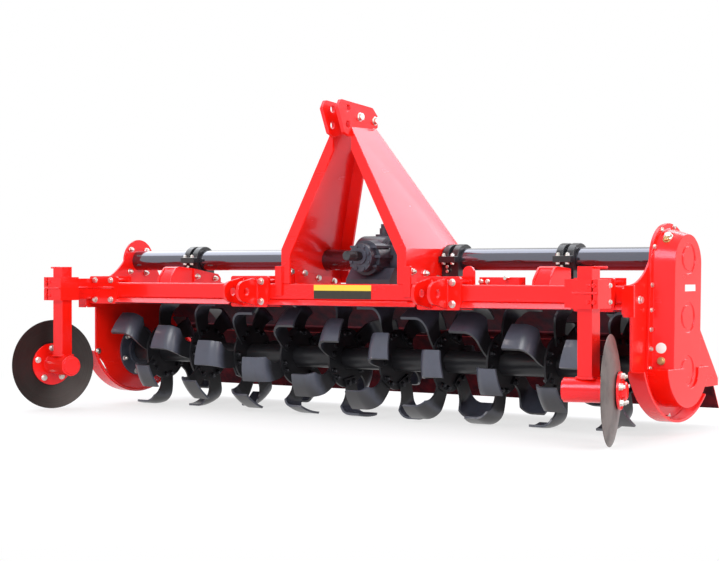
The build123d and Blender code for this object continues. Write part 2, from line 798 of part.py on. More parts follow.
# Disc arms, posts, hubs and dished discs
arm_span = {
    "left": (side_left - arm_width + 24, side_left + 24),
    "right": (arm_plate_x["right"] - arm_width / 2, arm_plate_x["right"] + arm_width / 2),
}
arm_neck = {"left": (side_left + side_t + 1, side_left + 24), "right": arm_span["right"]}
for side in ("left", "right"):
    out = outward[side]
    x = posts[side]
    sleeve = sorted((x - out * clamp_inner, x + out * (clamp_outer - clamp_cap - clamp_slot)))
    cap_x = x + out * (clamp_outer - clamp_cap / 2)
    arm_low = beam_z - arm_height / 2 + 6
    back_low = min(arm_span[side][0], sleeve[0])
    back_y = post_y + clamp_rear
    with BuildPart() as arm:
        with BuildSketch(Plane.XZ.offset(-beam_front)):
            with Locations((arm_plate_x[side], beam_z)):
                RectangleRounded(arm_plate_w, arm_plate_h, 8)
        extrude(amount=plate_t)
        add(back_plates(arm_plate_x[side], arm_plate_w, arm_plate_h))
        with BuildSketch(Plane.XZ.offset(-beam_front)):
            with Locations((arm_plate_x[side], beam_z)):
                with GridLocations(84, beam_height + 17, 2, 2):
                    Circle(8)
        extrude(amount=-beam_depth)
        # clamp round the post: sleeve, rear plate and bolted outer cap
        with BuildSketch(Plane.XY.offset(arm_low)):
            with Locations(((sleeve[0] + sleeve[1]) / 2, post_y + (clamp_rear - clamp_front) / 2)):
                Rectangle(sleeve[1] - sleeve[0], clamp_rear + clamp_front)
            with Locations(((back_low + sleeve[1]) / 2, back_y + 5)):
                Rectangle(sleeve[1] - back_low, 10)
            with Locations((cap_x, post_y + (clamp_rear - clamp_front) / 2)):
                Rectangle(clamp_cap, clamp_rear + clamp_front)
            with Locations((x, post_y)):
                Rectangle(post_size + 2 * gap, post_size + 2 * gap, mode=Mode.SUBTRACT)
        extrude(amount=arm_height)
        with BuildSketch(Plane.YZ.offset(x)):
            for dy in (-clamp_front + clamp_bolt_r + 2, clamp_rear - clamp_bolt_r - 2):
                with Locations((post_y + dy, beam_z + 6)):
                    with GridLocations(1, arm_height - 38, 1, 2):
                        Circle(clamp_bolt_r)
        extrude(amount=out * clamp_outer)
        with BuildSketch(Plane.XY.offset(arm_low + arm_height / 2 - 1)):
            with Locations((x, post_y - clamp_front)):
                Rectangle(3 * clamp_outer, 5)
        extrude(amount=3, mode=Mode.SUBTRACT)
        # arm bar beside the beam's end, with its narrow end on the clamp plate
        with BuildSketch(Plane.XY.offset(arm_low + 3)):
            with Locations((sum(arm_span[side]) / 2, (ear_front - 1 + back_y + 10) / 2)):
                Rectangle(arm_width, ear_front - 1 - back_y - 10)
            with Locations((sum(arm_neck[side]) / 2, (ear_front - 1 + beam_front - plate_t) / 2)):
                Rectangle(arm_neck[side][1] - arm_neck[side][0], beam_front - plate_t - ear_front + 1)
        extrude(amount=arm_height - 9)
    keep("disc_arm_" + side, arm.part)

    rim = rim_offset[side]
    apex = rim + disc_dish
    turn = Plane(
        origin=(x, post_y, disc_r),
        x_dir=(0, 0, 1),
        z_dir=(out * cos(radians(disc_turn)), sin(radians(disc_turn)), 0),
    )
    with BuildPart() as post:
        with BuildSketch(Plane.XY.offset(disc_r + hub_r - 6)):
            with Locations((x, post_y)):
                Rectangle(post_size, post_size)
                Rectangle(post_size - 2 * post_wall, post_size - 2 * post_wall, mode=Mode.SUBTRACT)
        extrude(amount=post_top - disc_r - hub_r + 6)
        with BuildSketch(Plane.XY.offset(post_top)):
            with Locations((x, post_y)):
                Rectangle(post_size, post_size)
        extrude(amount=-4)
        with BuildSketch(turn.offset(-hub_inner)):
            Circle(hub_r)
        extrude(amount=hub_inner + rim - 6)
        with BuildSketch(turn.offset(-hub_inner - 5)):
            Circle(hub_r - 7)
        extrude(amount=5)
        with BuildSketch(turn.offset(rim - 6)):
            Circle(hub_bore + run_fit)
        extrude(amount=-50, mode=Mode.SUBTRACT)
    keep("disc_post_" + side, post.part)

    bowl = (disc_r**2 + disc_dish**2) / (2 * disc_dish)
    with BuildPart() as disc:
        with BuildSketch(Plane.XZ):
            with BuildLine():
                rise = bowl - sqrt(bowl**2 - (disc_r / 2) ** 2)
                Line((0, apex), (0, apex + disc_t))
                ThreePointArc((0, apex + disc_t), (disc_r / 2, apex + disc_t - rise), (disc_r, rim + disc_t))
                Line((disc_r, rim + disc_t), (disc_r, rim + disc_t - 2))
                ThreePointArc((disc_r, rim + disc_t - 2), (disc_r / 2, apex - rise), (0, apex))
            make_face()
            with Locations((0, apex)):
                Rectangle(40, 40, mode=Mode.SUBTRACT)
        revolve(axis=Axis.Z)
    keep("disc_" + side, turn.location * disc.part)

    # hub: spindle, inner flange, core through the disc, outer plate and cap
    seat = apex - (bowl - sqrt(bowl**2 - hub_flange**2)) - gap
    core = apex - 1.8
    with BuildPart() as hub:
        with BuildSketch(Plane.XZ):
            Polygon(
                (0, rim - 46), (hub_bore, rim - 46), (hub_bore, seat - 14), (34, seat - 14), (34, seat - 9),
                (hub_flange, seat - 9), (hub_flange, seat), (40, seat), (40, core), (19.7, core),
                (19.7, apex + disc_t), (58, apex + disc_t), (58, apex + disc_t + 8), (28, apex + disc_t + 8),
                (28, apex + disc_t + 22), (23, apex + disc_t + 26), (0, apex + disc_t + 26),
                align=None,
            )
        revolve(axis=Axis.Z)
    keep("disc_hub_" + side, turn.location * hub.part)

# Rear board on its hinge line
hinge = (slope_end[0] + 14, slope_end[1] - 16)
board_low = side_left + side_t + 8
board_high = side_right - side_t - 8
with BuildPart() as hinge_line:
    with BuildSketch(Plane.YZ.offset(side_left + side_t)):
        with Locations(hinge):
            Circle(hinge_r)
    extrude(amount=side_right - side_left - 2 * side_t)
keep("board_hinge", hinge_line.part)
board_dir = Vector(board_foot[0] - hinge[0], board_foot[1] - hinge[1]).normalized()
with BuildPart() as rear_board:
    with BuildSketch(Plane.YZ.offset(board_low)):
        with BuildLine():
            Polyline(
                (hinge[0] + board_dir.X * 12, hinge[1] + board_dir.Y * 12),
                (hinge[0] + board_dir.X * 200 + 10, hinge[1] + board_dir.Y * 200 + 4),
                board_foot,
            )
            offset(amount=board_t, side=Side.LEFT, kind=Kind.INTERSECTION)
        make_face()
        with Locations(hinge):
            Circle(hinge_r + 6)
            Circle(hinge_r + run_fit, mode=Mode.SUBTRACT)
    extrude(amount=board_high - board_low)
keep("rear_board", rear_board.part)

# The origin moves to the middle of the footprint, on the floor
boxes = [part.bounding_box() for part in parts.values()]
low = Vector(*(min(getattr(b.min, axis) for b in boxes) for axis in "XYZ"))
high = Vector(*(max(getattr(b.max, axis) for b in boxes) for axis in "XYZ"))
origin_shift = Vector(-(low.X + high.X) / 2, -(low.Y + high.Y) / 2, -low.Z)
os.makedirs("parts", exist_ok=True)
for name, part in parts.items():
    placed = part.moved(Location(origin_shift))
    placed.label = name
    export_step(placed, f"parts/{name}.step")
print("origin shift", origin_shift)
print("box", low, high)
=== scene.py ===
import math
import random

import bpy
from bpy.props import FloatProperty, FloatVectorProperty, PointerProperty
from mathutils import Matrix, Vector


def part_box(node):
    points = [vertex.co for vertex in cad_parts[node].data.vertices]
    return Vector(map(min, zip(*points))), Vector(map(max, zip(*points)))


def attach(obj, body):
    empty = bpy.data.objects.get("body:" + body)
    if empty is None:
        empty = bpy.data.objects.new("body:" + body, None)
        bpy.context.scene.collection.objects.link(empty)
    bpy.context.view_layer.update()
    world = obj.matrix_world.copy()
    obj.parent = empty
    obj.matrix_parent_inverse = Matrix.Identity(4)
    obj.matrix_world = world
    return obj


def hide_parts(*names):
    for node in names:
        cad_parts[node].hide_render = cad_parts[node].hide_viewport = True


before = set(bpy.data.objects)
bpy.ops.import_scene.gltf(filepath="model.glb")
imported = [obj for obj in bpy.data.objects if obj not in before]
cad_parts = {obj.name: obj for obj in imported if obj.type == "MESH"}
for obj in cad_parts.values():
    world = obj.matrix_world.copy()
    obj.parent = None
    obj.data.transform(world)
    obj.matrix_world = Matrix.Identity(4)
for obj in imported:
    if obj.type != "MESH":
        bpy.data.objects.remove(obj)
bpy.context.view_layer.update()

bl_info = {
    "name": "Rotary tiller",
    "version": (1, 0, 0),
    "blender": (4, 5, 0),
    "location": "3D View > Sidebar > Tiller",
    "description": "Dresses the packed rotary tiller with its paint, fasteners, welds and studio",
    "category": "Object",
}

MM = 0.001
hitch_low, hitch_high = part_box("top_hitch")
rotor_low, rotor_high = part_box("rotor_tube")
HITCH_PLANE = (hitch_low.x + hitch_high.x) / 2
ROTOR_LINE = (rotor_low.y + rotor_high.y) / 2

# Places that several pieces share, in millimetres as spot() takes them
ROTOR_HEIGHT = 211
LEFT_OUTER, LEFT_INNER = -1236, -1228
RIGHT_INNER, RIGHT_OUTER = 1106, 1114
BEAM_FRONT, BEAM_HEIGHT = -255, 455
PLATE_FRONT, PLATE_BACK = -267, -185
ROD_RISE = 37.5
LINK_PLACE = 412.5
TUBE_Y, TUBE_Z = 10, 569
CLAMPS = (-903, -309, 309, 765)
OUTER_CLAMPS = (-903, 765)
SHAFT_HEIGHT = 582
SIDE_CENTRE = (10, 316)
CASE_TOP, CASE_LOW = (10, 554), (0, 211)
CASE_DRAFT = math.sin(math.radians(15))
POST_Y, ARM_HEIGHT = -448, 461


def deck(y):
    """Height of the sloping deck at a place from front to back."""
    return 478 - 0.0979 * (y + 197)


def spot(x, y, z):
    """A point in the frame from millimetres off the hitch plane, the rotor axis and the floor."""
    return Vector((x * MM + HITCH_PLANE, y * MM + ROTOR_LINE, z * MM))


AS_DRAWN = Matrix.Translation(spot(0, 0, 0))


def facing(point, direction, twist=0.0):
    """A placing matrix whose Z points along direction at a point given in millimetres."""
    turn = Vector(direction).to_track_quat("Z", "Y").to_matrix().to_4x4()
    return Matrix.Translation(spot(*point)) @ turn @ Matrix.Rotation(twist, 4, "Z")


# Sizes and colours that a user would change
class TillerSizes(bpy.types.PropertyGroup):
    edge: FloatProperty(name="Edge", description="Width of the softened plate edges", default=0.0012,
                        unit="LENGTH")
    weld: FloatProperty(name="Weld", description="Radius of the weld beads", default=0.0045, unit="LENGTH")
    big_bolt: FloatProperty(name="Big bolt", description="Across flats of the hitch bolts", default=0.019,
                            unit="LENGTH")
    bolt: FloatProperty(name="Bolt", description="Across flats of the plate bolts", default=0.016,
                        unit="LENGTH")
    small_bolt: FloatProperty(name="Small bolt", description="Across flats of the cover bolts",
                              default=0.012, unit="LENGTH")
    lens: FloatProperty(name="Lens", description="Focal length of the camera in millimetres", default=86.11)


class TillerColours(bpy.types.PropertyGroup):
    red: FloatVectorProperty(name="Red enamel", description="Shell, mast and discs' posts",
                             subtype="COLOR", size=3, min=0, max=1, default=(0.86, 0.010, 0.004))
    black: FloatVectorProperty(name="Black enamel", description="Rotor, cross tube and clamps",
                               subtype="COLOR", size=3, min=0, max=1, default=(0.014, 0.014, 0.017))
    cast: FloatVectorProperty(name="Cast black", description="Gearbox castings",
                              subtype="COLOR", size=3, min=0, max=1, default=(0.050, 0.056, 0.080))
    blade: FloatVectorProperty(name="Blade", description="Forged blades",
                               subtype="COLOR", size=3, min=0, max=1, default=(0.060, 0.066, 0.092))
    zinc: FloatVectorProperty(name="Zinc", description="Bolts, nuts and washers",
                              subtype="COLOR", size=3, min=0, max=1, default=(0.74, 0.73, 0.72))
    brass: FloatVectorProperty(name="Brass", description="Oil plugs",
                               subtype="COLOR", size=3, min=0, max=1, default=(0.62, 0.42, 0.20))
    disc: FloatVectorProperty(name="Disc steel", description="Dished discs",
                              subtype="COLOR", size=3, min=0, max=1, default=(0.085, 0.070, 0.066))
    floor: FloatVectorProperty(name="Floor", description="Studio floor",
                               subtype="COLOR", size=3, min=0, max=1, default=(0.88, 0.88, 0.89))


# Shader maths and nodes
class Wire:
    """A socket of a node tree, whose arithmetic adds Math nodes."""

    def __init__(self, owner, socket):
        self.owner = owner
        self.socket = socket

    def join(self, operation, *values, clamp=False):
        sockets = dict(enumerate(values))
        return self.owner.add("ShaderNodeMath", {"operation": operation, "use_clamp": clamp}, sockets)

    def __add__(self, other):
        return self.join("ADD", self, other)

    def __radd__(self, other):
        return self.join("ADD", other, self)

    def __sub__(self, other):
        return self.join("SUBTRACT", self, other)

    def __rsub__(self, other):
        return self.join("SUBTRACT", other, self)

    def __mul__(self, other):
        return self.join("MULTIPLY", self, other)

    def __rmul__(self, other):
        return self.join("MULTIPLY", other, self)

    def __truediv__(self, other):
        return self.join("DIVIDE", self, other)

    def __rtruediv__(self, other):
        return self.join("DIVIDE", other, self)

    def __pow__(self, other):
        return self.join("POWER", self, other)

    def above(self, low, high):
        """0 below low, 1 above high, smooth between."""
        return self.owner.add(
            "ShaderNodeMapRange", {"interpolation_type": "SMOOTHSTEP"},
            {"Value": self, "From Min": low, "From Max": high, "To Min": 0.0, "To Max": 1.0})


class Tree:
    """A node tree and the single way its nodes are added."""

    def __init__(self, tree):
        self.tree = tree
        self.tree.nodes.clear()

    def add(self, kind, settings=None, sockets=None, out=0):
        node = self.tree.nodes.new(kind)
        for key, value in (settings or {}).items():
            setattr(node, key, value)
        for key, value in (sockets or {}).items():
            self.put(node.inputs[key], value)
        return Wire(self, node.outputs[out]) if node.outputs else None

    def put(self, socket, value):
        if isinstance(value, Wire):
            self.tree.links.new(value.socket, socket)
        elif isinstance(value, (tuple, list)) and len(value) == 3 and len(socket.default_value) == 4:
            socket.default_value = (*value, 1.0)
        else:
            socket.default_value = value


class Finish(Tree):
    """One material, built on the Principled shader."""

    def __init__(self, name, **constants):
        self.material = bpy.data.materials.new(name)
        self.material.use_nodes = True
        super().__init__(self.material.node_tree)
        self.output = self.tree.nodes.new("ShaderNodeOutputMaterial")
        self.shader = self.tree.nodes.new("ShaderNodeBsdfPrincipled")
        self.tree.links.new(self.shader.outputs[0], self.output.inputs[0])
        for socket, value in constants.items():
            self.shader.inputs[socket.replace("_", " ")].default_value = value

    def set(self, **sockets):
        for key, value in sockets.items():
            self.put(self.shader.inputs[key.replace("_", " ")], value)

    def place(self, scale=(1, 1, 1)):
        """Position on the object in metres, stretched."""
        coordinate = self.add("ShaderNodeTexCoord", out=3)
        return coordinate if scale == (1, 1, 1) else self.vectors("MULTIPLY", coordinate, scale)

    def vectors(self, operation, *values, out=0):
        return self.add("ShaderNodeVectorMath", {"operation": operation}, dict(enumerate(values)), out)

    def noise(self, scale, detail=2.0, rough=0.5, where=None):
        return self.add("ShaderNodeTexNoise", None, {
            "Vector": where or self.place(), "Scale": scale, "Detail": detail, "Roughness": rough})

    def cells(self, scale):
        return self.add("ShaderNodeTexVoronoi", {"feature": "F1"}, {"Vector": self.place(), "Scale": scale})

    def mix(self, share, first, second):
        """A colour between two, by a share from 0 to 1."""
        return self.add("ShaderNodeMix", {"data_type": "RGBA"}, {0: share, 6: first, 7: second}, out=2)

    def bump(self, height, distance, strength, under=None):
        sockets = {"Height": height, "Distance": distance, "Strength": strength}
        if under is not None:
            sockets["Normal"] = under
        return self.add("ShaderNodeBump", None, sockets)

    def part(self, vector, axis):
        """One part of a vector, 0 for X, 1 for Y, 2 for Z."""
        return self.add("ShaderNodeSeparateXYZ", None, {"Vector": vector}, out=axis)

    def normal(self, axis):
        """One part of the true surface normal."""
        return self.part(self.add("ShaderNodeNewGeometry", out=1), axis)


def shade(colour, factor):
    return tuple(min(1.0, part * factor) for part in colour)


def enamel(name, colour, gloss, dust, coat, under=None, specular=0.5, tint=(1.0, 1.0, 1.0), coat_ior=1.5):
    """Sprayed enamel: orange peel, faint runs of tone, a trace of dust on what looks up, and painted shade
    in dark red-brown on the faces that under picks.
    """
    finish = Finish(name, Coat_Weight=coat, Coat_Roughness=0.06, Specular_IOR_Level=specular,
                    Specular_Tint=(*tint, 1.0), Coat_IOR=coat_ior)
    broad = finish.noise(2.2, 3.0)
    cloud = finish.noise(23.0, 4.0, 0.6)
    tone = finish.mix(broad * 0.6, shade(colour, 0.93), shade(colour, 1.05))
    upward = finish.normal(2)
    film = upward.above(0.75, 0.98) * cloud.above(0.42, 0.78) * dust
    tone = finish.mix(film, tone, (0.42, 0.36, 0.33))
    smear = finish.noise(7.0, 3.0, 0.55, finish.place((1, 1, 3)))
    rough = gloss + smear.above(0.35, 0.75) * 0.08 + film * 0.3
    # Painted shade: where under() picks faces that lie in shadow, the red turns dark red-brown, rougher and
    # without coat.
    if under is not None:
        painted_shade_share = under(finish)
        painted_shade_tone = finish.mix(cloud.above(0.3, 0.7), (0.030, 0.003, 0.004), (0.130, 0.006, 0.008))
        tone = finish.mix(painted_shade_share, tone, painted_shade_tone)
        rough = rough + painted_shade_share * 0.45
        finish.set(Coat_Weight=(1 - painted_shade_share) * coat)
    finish.set(Base_Color=tone, Roughness=rough)
    peel = finish.noise(420.0, 1.0)
    waves = finish.noise(38.0, 2.0)
    low = finish.bump(waves, 0.0006, 0.25)
    finish.set(Normal=finish.bump(peel, 0.00025, 0.22, low))
    return finish.material


def hood_underside_painted_shade(finish):
    """The hood's underside, darkened to dark red-brown as painted shade."""
    return (-1 * finish.normal(2)).above(0.15, 0.4)


def board_inner_painted_shade(finish):
    """The rear board's inner face, with the same painted shade."""
    return (-1 * finish.normal(1)).above(0.3, 0.6)


def casting(name, colour):
    """Sand-cast iron under black paint: grain, pits and dull patches."""
    finish = Finish(name, Coat_Weight=0.15, Coat_Roughness=0.25)
    grain = finish.noise(260.0, 4.0, 0.65)
    pits = finish.cells(150.0)
    patch = finish.noise(16.0, 3.0)
    finish.set(Base_Color=finish.mix(patch.above(0.3, 0.7), shade(colour, 0.75), shade(colour, 1.25)))
    finish.set(Roughness=0.36 + grain * 0.16)
    height = grain * 0.7 + pits * 0.3
    finish.set(Normal=finish.bump(height, 0.0011, 0.6))
    return finish.material


def forged(name, colour, paint):
    """Blades: black paint on the flange and shank, blue-grey rolled scale out on the wing, painted shade on
    wings that face down.
    """
    finish = Finish(name, Coat_Weight=0.0, Coat_Roughness=0.28, Specular_IOR_Level=0.3)
    scale_marks = finish.noise(34.0, 5.0, 0.62)
    rub = finish.noise(11.0, 4.0, 0.7)
    across = finish.part(finish.place(), 1) - ROTOR_LINE
    up = finish.part(finish.place(), 2) - ROTOR_HEIGHT * MM
    radius = (across * across + up * up) ** 0.5
    wing = (radius + scale_marks * 0.02).above(0.160, 0.196)
    worn = finish.add("ShaderNodeNewGeometry", out=7).above(0.53, 0.60) * rub.above(0.35, 0.6) * wing
    tone = finish.mix(scale_marks, shade(colour, 0.8), shade(colour, 1.25))
    tone = finish.mix(wing, finish.mix(rub, shade(paint, 0.7), shade(paint, 1.3)), tone)
    # Painted shade: wings that face down are darkened towards near black.
    painted_shade_below = (-1 * finish.normal(2)).above(0.15, 0.55) * wing
    tone = finish.mix(painted_shade_below * 0.8, tone, (0.020, 0.018, 0.017))
    finish.set(Base_Color=finish.mix(worn * (1 - painted_shade_below), tone, (0.24, 0.24, 0.26)))
    finish.set(Metallic=worn * 0.7, Coat_Weight=0.06 + wing * 0.55)
    finish.set(Roughness=0.34 + scale_marks * 0.14)
    finish.set(Normal=finish.bump(scale_marks, 0.0010, 0.35))
    return finish.material


def plated(name, colour, tint):
    """Bare metal of fasteners and plugs, plated or blackened, mottled between two tones."""
    finish = Finish(name, Metallic=1.0)
    mottle = finish.noise(60.0, 3.0)
    finish.set(Base_Color=finish.mix(mottle.above(0.35, 0.7), colour, tint))
    finish.set(Roughness=0.24 + finish.noise(210.0, 2.0) * 0.16)
    finish.set(Normal=finish.bump(finish.noise(500.0, 2.0), 0.0002, 0.3))
    return finish.material


def turned(name, colour, centre, axis, rings, dark):
    """Rolled or turned steel with rings round an axis, and dark handling marks."""
    finish = Finish(name, Metallic=0.75)
    offset = finish.vectors("SUBTRACT", finish.place(), tuple(centre))
    along = finish.vectors("DOT_PRODUCT", offset, tuple(axis), out=1)
    reach = finish.vectors("LENGTH", offset, out=1)
    radius = (reach * reach - along * along) ** 0.5
    spread = finish.add("ShaderNodeCombineXYZ", None, {"X": radius * rings, "Y": along * 20.0})
    lines = finish.noise(9.0, 4.0, 0.7, spread)
    blot = finish.noise(9.0, 4.0, 0.6)
    tone = finish.mix(lines.above(0.3, 0.7), shade(colour, 0.7), shade(colour, 1.2))
    finish.set(Base_Color=finish.mix(blot.above(0.42, 0.7) * 0.7, tone, dark))
    finish.set(Roughness=0.30 + lines * 0.12 + blot * 0.12)
    finish.set(Normal=finish.bump(lines, 0.0004, 0.35))
    return finish.material


def label_stock(name, colour):
    """A blank printed-film sticker with a satin face."""
    finish = Finish(name, Roughness=0.35)
    finish.set(Base_Color=finish.mix(finish.noise(40.0, 2.0), shade(colour, 0.92), colour))
    finish.set(Normal=finish.bump(finish.noise(90.0, 2.0), 0.0002, 0.3))
    return finish.material


def two_bands(name, upper, lower, height):
    """A blank sticker in two plain bands that meet at a height in metres."""
    finish = Finish(name, Roughness=0.3)
    z = finish.part(finish.place(), 2)
    tone = finish.mix(z.above(height - 0.0006, height + 0.0006), lower, upper)
    finish.set(Base_Color=finish.mix(finish.noise(60.0, 3.0) * 0.06, tone, shade(upper, 0.5)))
    finish.set(Normal=finish.bump(finish.noise(90.0, 2.0), 0.0002, 0.3))
    return finish.material


FINISHES = {}


def make_finishes(colours):
    red = tuple(colours.red)
    # The cool tint colours the enamels' reflections blue, a painted cast standing in for bluish sky light.
    cool = (0.62, 0.66, 1.0)
    FINISHES["red"] = enamel("Red enamel", red, 0.20, 0.05, 0.22, specular=0.45, tint=cool)
    # The hood's underside and the rear board's inner face carry painted shade in dark red-brown.
    FINISHES["hood"] = enamel("Red enamel with painted shade underneath", red, 0.20, 0.05, 0.22, hood_underside_painted_shade, 0.45, cool)
    FINISHES["board"] = enamel("Red enamel on the board with painted shade inside", red, 0.42, 0.05, 0.04, board_inner_painted_shade, 0.25, cool)
    # The black enamel's reflections are tinted blue as well, painted sky colour.
    FINISHES["black"] = enamel("Black enamel", tuple(colours.black), 0.12, 0.04, 1.0, specular=1.0,
                               tint=(0.55, 0.60, 1.0), coat_ior=1.9)
    FINISHES["clamp"] = enamel("Clamp black", tuple(colours.black), 0.26, 0.04, 0.3, specular=0.45)
    FINISHES["cast"] = casting("Painted casting", tuple(colours.cast))
    FINISHES["rotor"] = enamel("Rotor black", tuple(colours.black), 0.38, 0.10, 0.12, specular=0.4)
    FINISHES["blade"] = forged("Forged blade", tuple(colours.blade), tuple(colours.black))
    FINISHES["bolt"] = plated("Blackened bolt", (0.075, 0.075, 0.085), (0.035, 0.035, 0.04))
    FINISHES["decal"] = two_bands("Blank two-tone decal", (0.80, 0.58, 0.05), (0.012, 0.012, 0.013), 0.460)
    FINISHES["zinc"] = plated("Zinc plate", tuple(colours.zinc), (0.60, 0.57, 0.50))
    FINISHES["brass"] = plated("Brass", tuple(colours.brass), shade(tuple(colours.brass), 0.7))
    FINISHES["label"] = label_stock("Blank label", (0.72, 0.72, 0.70))


# Mesh building
class Pile:
    """Vertices and faces gathered for one piece, in the frame."""

    def __init__(self):
        self.verts = []
        self.faces = []

    def add(self, shape, place):
        """Adds a shape whose measures are in millimetres, at a placing matrix."""
        verts, faces = shape
        start = len(self.verts)
        place = place @ Matrix.Scale(MM, 4)
        self.verts.extend(place @ Vector(vert) for vert in verts)
        self.faces.extend([index + start for index in face] for face in faces)

    def make(self, name, body, finish, slot, smooth=32.0):
        mesh = bpy.data.meshes.new(name)
        mesh.from_pydata([tuple(vert) for vert in self.verts], [], self.faces)
        mesh.validate()
        mesh.polygons.foreach_set("use_smooth", [True] * len(mesh.polygons))
        mesh.set_sharp_from_angle(angle=math.radians(smooth))
        piece = bpy.data.objects.new(name, mesh)
        bpy.context.scene.collection.objects.link(piece)
        mesh.materials.append(FINISHES[finish])
        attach(piece, body)
        return piece


def ring(radius, height, steps, phase=0.0):
    turn = 2 * math.pi / steps
    angles = [turn * k + phase for k in range(steps)]
    return [(radius * math.cos(angle), radius * math.sin(angle), height) for angle in angles]


def stack(rings):
    """A closed shape through rings of equal length, capped at both ends."""
    steps = len(rings[0])
    verts = [vert for one in rings for vert in one]
    faces = [list(range(steps))[::-1]]
    for level in range(len(rings) - 1):
        low = level * steps
        for k in range(steps):
            after = (k + 1) % steps
            faces.append([low + k, low + after, low + steps + after, low + steps + k])
    faces.append([(len(rings) - 1) * steps + k for k in range(steps)])
    return verts, faces


def lathe(profile, steps):
    """A turned shape from (radius, height) pairs, capped at both ends."""
    return stack([ring(radius, height, steps) for radius, height in profile])


def hexagon(flats, low, high):
    """A hexagon head with its chamfered upper corners."""
    corner = flats / math.sqrt(3)
    outline = []
    for k in range(12):
        radius = corner if k % 2 == 0 else flats / 2
        outline.append((radius * math.cos(k * math.pi / 6), radius * math.sin(k * math.pi / 6)))
    chamfer = flats * 0.07
    body = [(x, y, low) for x, y in outline]
    shoulder = []
    for k, (x, y) in enumerate(outline):
        shoulder.append((x, y, high - (chamfer if k % 2 == 0 else chamfer * 0.35)))
    return stack([body, shoulder, ring(flats * 0.47, high, 12), ring(flats * 0.40, high, 12)])


def prism(outline, low, high, along="x"):
    """A closed outline drawn from low to high: (y, z) places along X, or (x, z) places along Y."""
    count = len(outline)
    if along == "x":
        verts = [(level, y, z) for level in (low, high) for y, z in outline]
    else:
        verts = [(x, level, z) for level in (low, high) for x, z in outline]
    sides = [[k, k + count, (k + 1) % count + count, (k + 1) % count] for k in range(count)]
    return verts, [list(range(count)), list(range(count, 2 * count))[::-1], *sides]


def plate(left, right, low, high):
    """The corners of an upright rectangle, in the order that prism() turns outward."""
    return [(left, low), (left, high), (right, high), (right, low)]


def merge(*shapes):
    verts, faces = [], []
    for more_verts, more_faces in shapes:
        start = len(verts)
        verts += more_verts
        faces += [[index + start for index in face] for face in more_faces]
    return verts, faces


def washer(flats):
    """A flat washer under a head or nut, and the height that it lifts them."""
    lift = flats * 0.10
    rim = flats * 0.68
    return lathe([(rim, -0.2), (rim, lift * 0.7), (rim - lift * 0.3, lift), (flats * 0.3, lift)], 24), lift


def bolt(flats, washered=True):
    """A hexagon bolt head, standing on Z = 0."""
    if not washered:
        return hexagon(flats, 0.0, flats * 0.42)
    ring_below, lift = washer(flats)
    return merge(ring_below, hexagon(flats, lift, lift + flats * 0.42))


def nut(flats, tail=0.35):
    """A nut on its washer, with the bolt's threaded end standing out."""
    ring_below, lift = washer(flats)
    body = hexagon(flats, lift, lift + flats * 0.52)
    radius = flats * 0.31
    start = lift + flats * 0.45
    end = start + flats * (0.07 + tail)
    profile = [(radius * 0.9, start)]
    turns = 4
    for k in range(turns):
        z = start + (end - start) * (k + 0.5) / turns
        profile += [(radius, z), (radius * 0.9, z + (end - start) * 0.4 / turns)]
    profile.append((radius * 0.78, end + flats * 0.03))
    return merge(ring_below, body, lathe(profile, 16))


def tube_along(points, radius, steps, wobble, seed):
    """A round bead along points in millimetres, its thickness uneven by the wobble."""
    rng = random.Random(seed)
    rings = []
    points = [Vector(point) for point in points]
    side = None
    for k, point in enumerate(points):
        ahead = points[min(k + 1, len(points) - 1)] - points[max(k - 1, 0)]
        ahead.normalize()
        if side is None:
            side = ahead.orthogonal().normalized()
        side = (side - ahead * side.dot(ahead)).normalized()
        other = ahead.cross(side)
        size = radius * (1 + wobble * rng.uniform(-1, 1))
        if k in (0, len(points) - 1):
            size *= 0.6
        rings.append([tuple(point + side * math.cos(2 * math.pi * j / steps) * size
                            + other * math.sin(2 * math.pi * j / steps) * size) for j in range(steps)])
    return stack(rings)


def seam(start, end, pitch=7.0):
    """Points of a straight weld between two places in millimetres."""
    start, end = Vector(start), Vector(end)
    count = max(3, int((end - start).length / pitch))
    return [start.lerp(end, k / count) for k in range(count + 1)]


def arc_seam(centre, radius, first, last, x, count):
    """Points of a weld round an axis along X, angles from -Y upward in degrees."""
    points = []
    for k in range(count + 1):
        angle = math.radians(first + (last - first) * k / count)
        points.append((x, centre[0] - radius * math.cos(angle), centre[1] + radius * math.sin(angle)))
    return points


def weld(name, seams, radius):
    """Weld beads on the frame, in the red enamel."""
    pile = Pile()
    for number, points in enumerate(seams):
        pile.add(tube_along(points, radius, 8, 0.16, number + 7), AS_DRAWN)
    return pile.make(name, "frame", "red", "red_paint", 50)


# Finishes on the CAD nodes
def soften(names, finish, width):
    """Gives nodes their finish, smooth shading, and narrow rounded edges made by modifiers."""
    for name in names:
        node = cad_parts[name]
        mesh = node.data
        mesh.materials.clear()
        mesh.materials.append(FINISHES[finish])
        mesh.polygons.foreach_set("use_smooth", [True] * len(mesh.polygons))
        if "custom_normal" in mesh.attributes:
            mesh.attributes.remove(mesh.attributes["custom_normal"])
        weld_points = node.modifiers.new("Weld points", "WELD")
        weld_points.merge_threshold = 0.00002
        flat = node.modifiers.new("Flat faces", "DECIMATE")
        flat.decimate_type = "DISSOLVE"
        flat.angle_limit = math.radians(0.4)
        edge = node.modifiers.new("Edges", "BEVEL")
        edge.width = width
        edge.segments = 2
        edge.limit_method = "ANGLE"
        edge.angle_limit = math.radians(32)
        edge.harden_normals = True
        edge.use_clamp_overlap = True


